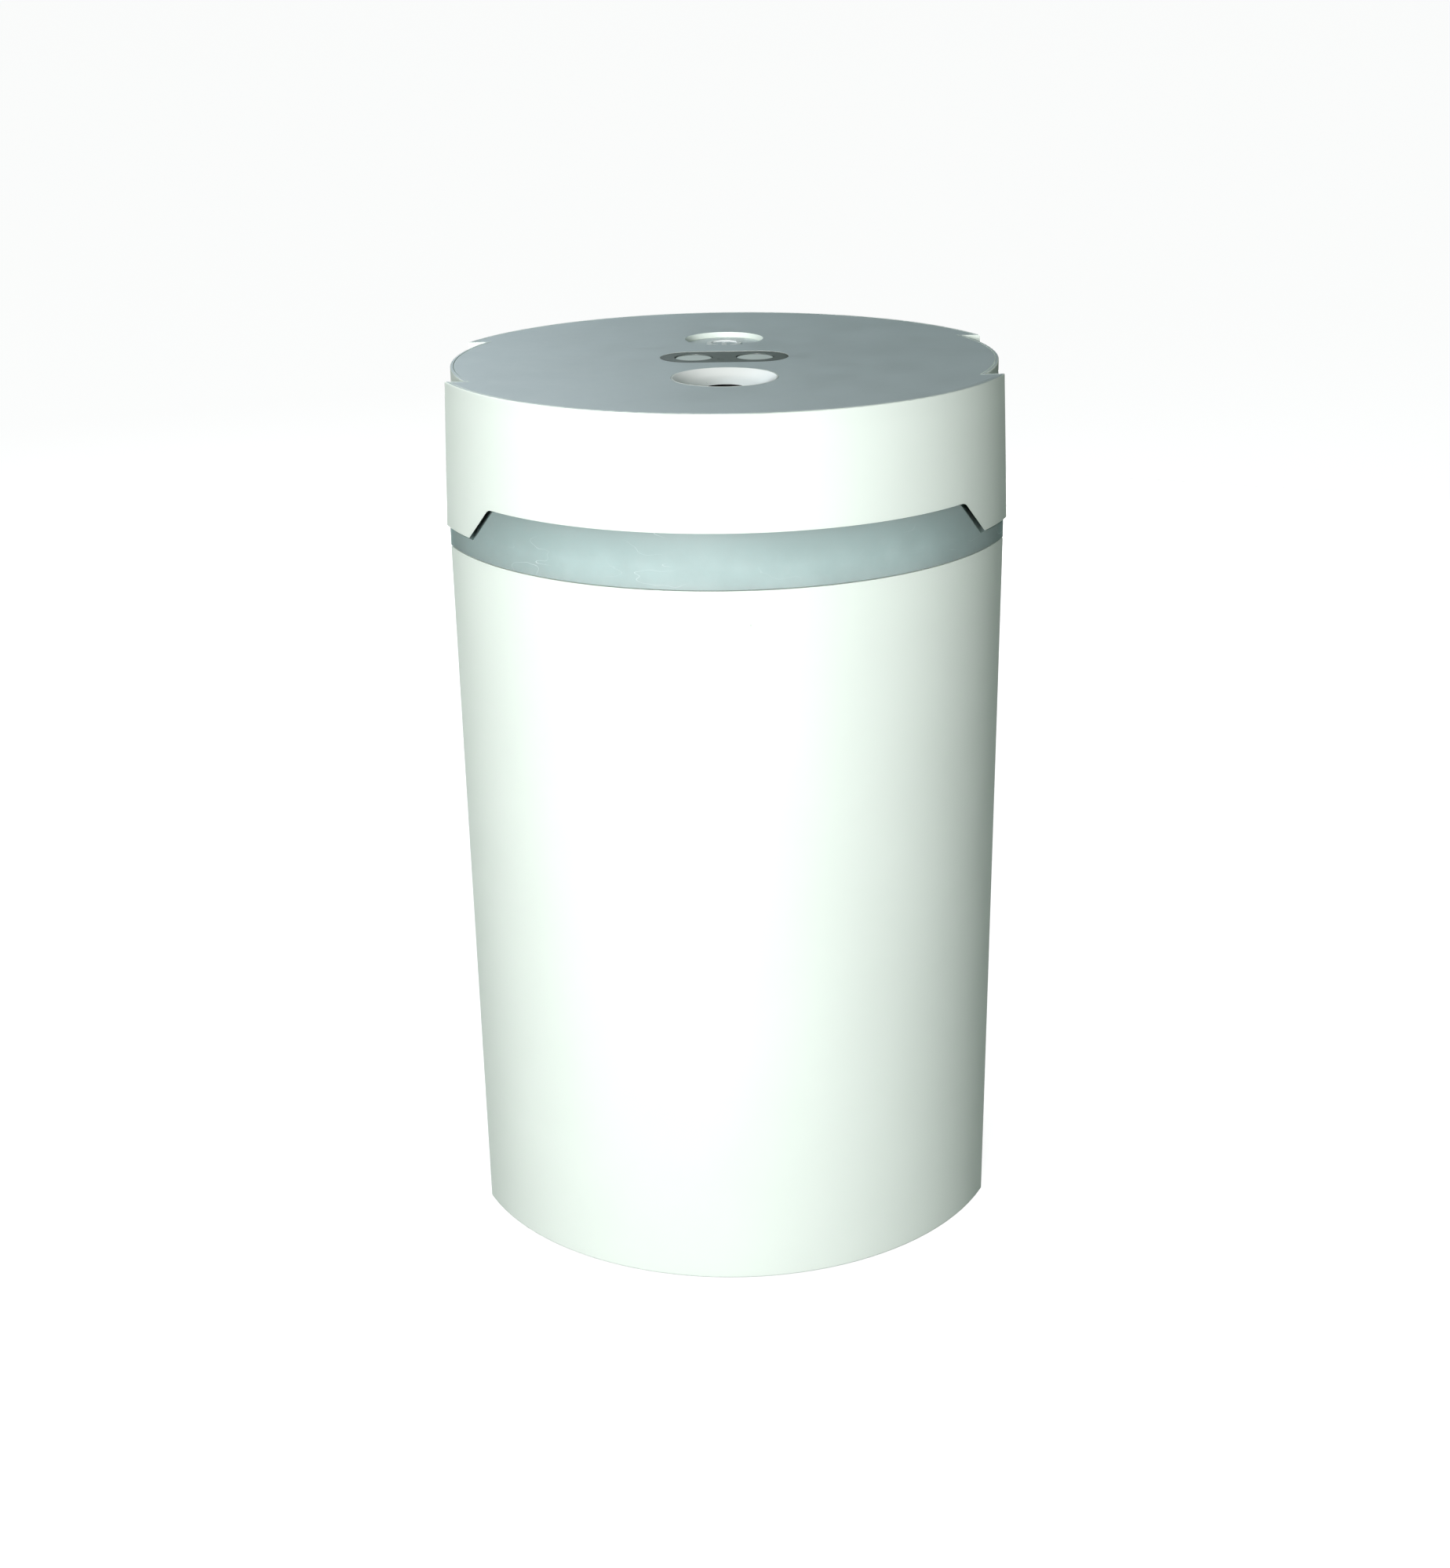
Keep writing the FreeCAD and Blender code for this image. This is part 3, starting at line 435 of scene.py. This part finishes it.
def make_spring():
    """Coil under the wick, in place of the CAD spring, carried with the wick tube."""
    low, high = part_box("wick_spring")
    centre_y = 0.5 * (low.y + high.y)
    rise = high.z - low.z - 2.0 * SPRING_WIRE
    mesh = coil_mesh(high.x - SPRING_WIRE, centre_y, low.z + SPRING_WIRE, rise)
    mesh.materials.append(STEEL.material)
    coil = bpy.data.objects.new("coil", mesh)
    bpy.context.collection.objects.link(coil)
    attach(coil, "wick_tube")
    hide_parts("wick_spring")
    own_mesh(coil)


make_spring()


# ---------------------------------------------------------------- stage, lights and camera
def paper(name, vertices, faces):
    """A sheet of pale backdrop paper, which sheds no light on the object."""
    mesh = bpy.data.meshes.new(name)
    mesh.from_pydata(vertices, [], faces)
    mesh.polygons.foreach_set("use_smooth", [True] * len(faces))
    sheet = bpy.data.objects.new(name, mesh)
    bpy.context.collection.objects.link(sheet)
    look = Look(name + "_paper", (0.3, 0.3, 0.3), 0.8)
    look.set("Emission Color", (1.0, 1.0, 1.0, 1.0))
    look.set("Emission Strength", 0.92)
    look.sheen_spread(12.0, 0.75, 0.85)
    mesh.materials.append(look.material)
    sheet.visible_diffuse = False
    sheet.visible_glossy = False
    return sheet


def make_floor():
    """Pale floor that curves up into a backdrop far behind."""
    half_width = 4.0
    front = -3.0
    back = 3.2
    bend = 1.2
    steps = 16
    profile = [(front, 0.0), (back, 0.0)]
    for step in range(1, steps + 1):
        angle = 0.5 * math.pi * step / steps
        profile.append((back + bend * math.sin(angle), bend * (1.0 - math.cos(angle))))
    profile.append((back + bend, 4.0))
    vertices = [(side * half_width, y, z) for y, z in profile for side in (-1, 1)]
    faces = [(2 * i, 2 * i + 1, 2 * i + 3, 2 * i + 2) for i in range(len(profile) - 1)]
    paper("floor", vertices, faces)


def make_surround():
    """Round paper wall outside the floor, the background of the side and back views."""
    radius = 5.2
    low = -1.0
    high = 5.0
    sides = 32
    vertices = []
    for side in range(sides):
        angle = 2.0 * math.pi * side / sides
        for z in (low, high):
            vertices.append((radius * math.cos(angle), radius * math.sin(angle), z))
    faces = []
    for side in range(sides):
        this = 2 * side
        following = 2 * ((side + 1) % sides)
        faces.append((this, following, following + 1, this + 1))
    paper("surround", vertices, faces).visible_shadow = False


def area_light(name, azimuth, elevation, distance, size, power, colour=(1.0, 1.0, 1.0)):
    """Softbox aimed at the middle of the object; azimuth 0 is in front, positive to the right."""
    target = Vector((0.0, 0.0, 0.55 * TOP))
    around = math.radians(azimuth)
    up = math.radians(elevation)
    away = Vector((math.sin(around) * math.cos(up), -math.cos(around) * math.cos(up), math.sin(up)))
    light = bpy.data.lights.new(name, "AREA")
    light.shape = "DISK"
    light.size = size
    light.energy = power
    light.color = colour
    lamp = bpy.data.objects.new(name, light)
    lamp.location = target + away * distance
    lamp.rotation_euler = away.to_track_quat("Z", "Y").to_euler()
    lamp.visible_camera = False
    bpy.context.collection.objects.link(lamp)
    return lamp


def make_lights():
    """Key from the front left, faint fills from the left and above, and two soft lights for the rear."""
    area_light("key", azimuth=-12, elevation=16, distance=0.5, size=0.16, power=2.8)
    area_light("left_fill", azimuth=-80, elevation=12, distance=0.9, size=0.6, power=0.25,
               colour=(0.93, 1.0, 0.97))
    area_light("back_sky", azimuth=205, elevation=36, distance=0.5, size=0.4, power=0.75,
               colour=(0.82, 0.93, 1.0))
    for side in (-1, 1):
        rear = area_light("back_fill", azimuth=side * 160, elevation=-2, distance=0.5, size=0.12,
                          power=0.9, colour=(1.0, 0.97, 1.0))
        rear.visible_glossy = False
    world = bpy.data.worlds.new("studio")
    world.use_nodes = True
    background = world.node_tree.nodes["Background"]
    background.inputs["Color"].default_value = (0.80, 1.0, 0.89, 1.0)
    background.inputs["Strength"].default_value = 0.14
    bpy.context.scene.world = world
    bpy.context.scene.view_settings.view_transform = "Standard"


def make_camera():
    """Close view from the front, a little above the cap, as a hand-held phone sees it."""
    distance = 8.0 * CAP_TOP_RADIUS
    height = TOP + 1.381 * CAP_TOP_RADIUS
    pitch_down = math.radians(20.3)
    roll = math.radians(-0.84)
    camera = bpy.data.cameras.new("view")
    camera.sensor_fit = "VERTICAL"
    camera.sensor_height = 36.0
    camera.lens = 53.17
    camera.shift_x = -0.0036
    camera.shift_y = 0.0016
    holder = bpy.data.objects.new("view", camera)
    tilt = Euler((0.5 * math.pi - pitch_down, 0.0, 0.0)).to_matrix().to_4x4()
    holder.matrix_world = (Matrix.Translation((0.0, -distance, height)) @ tilt
                           @ Matrix.Rotation(roll, 4, "Z"))
    bpy.context.collection.objects.link(holder)
    bpy.context.scene.camera = holder


make_floor()
make_surround()
make_lights()
make_camera()
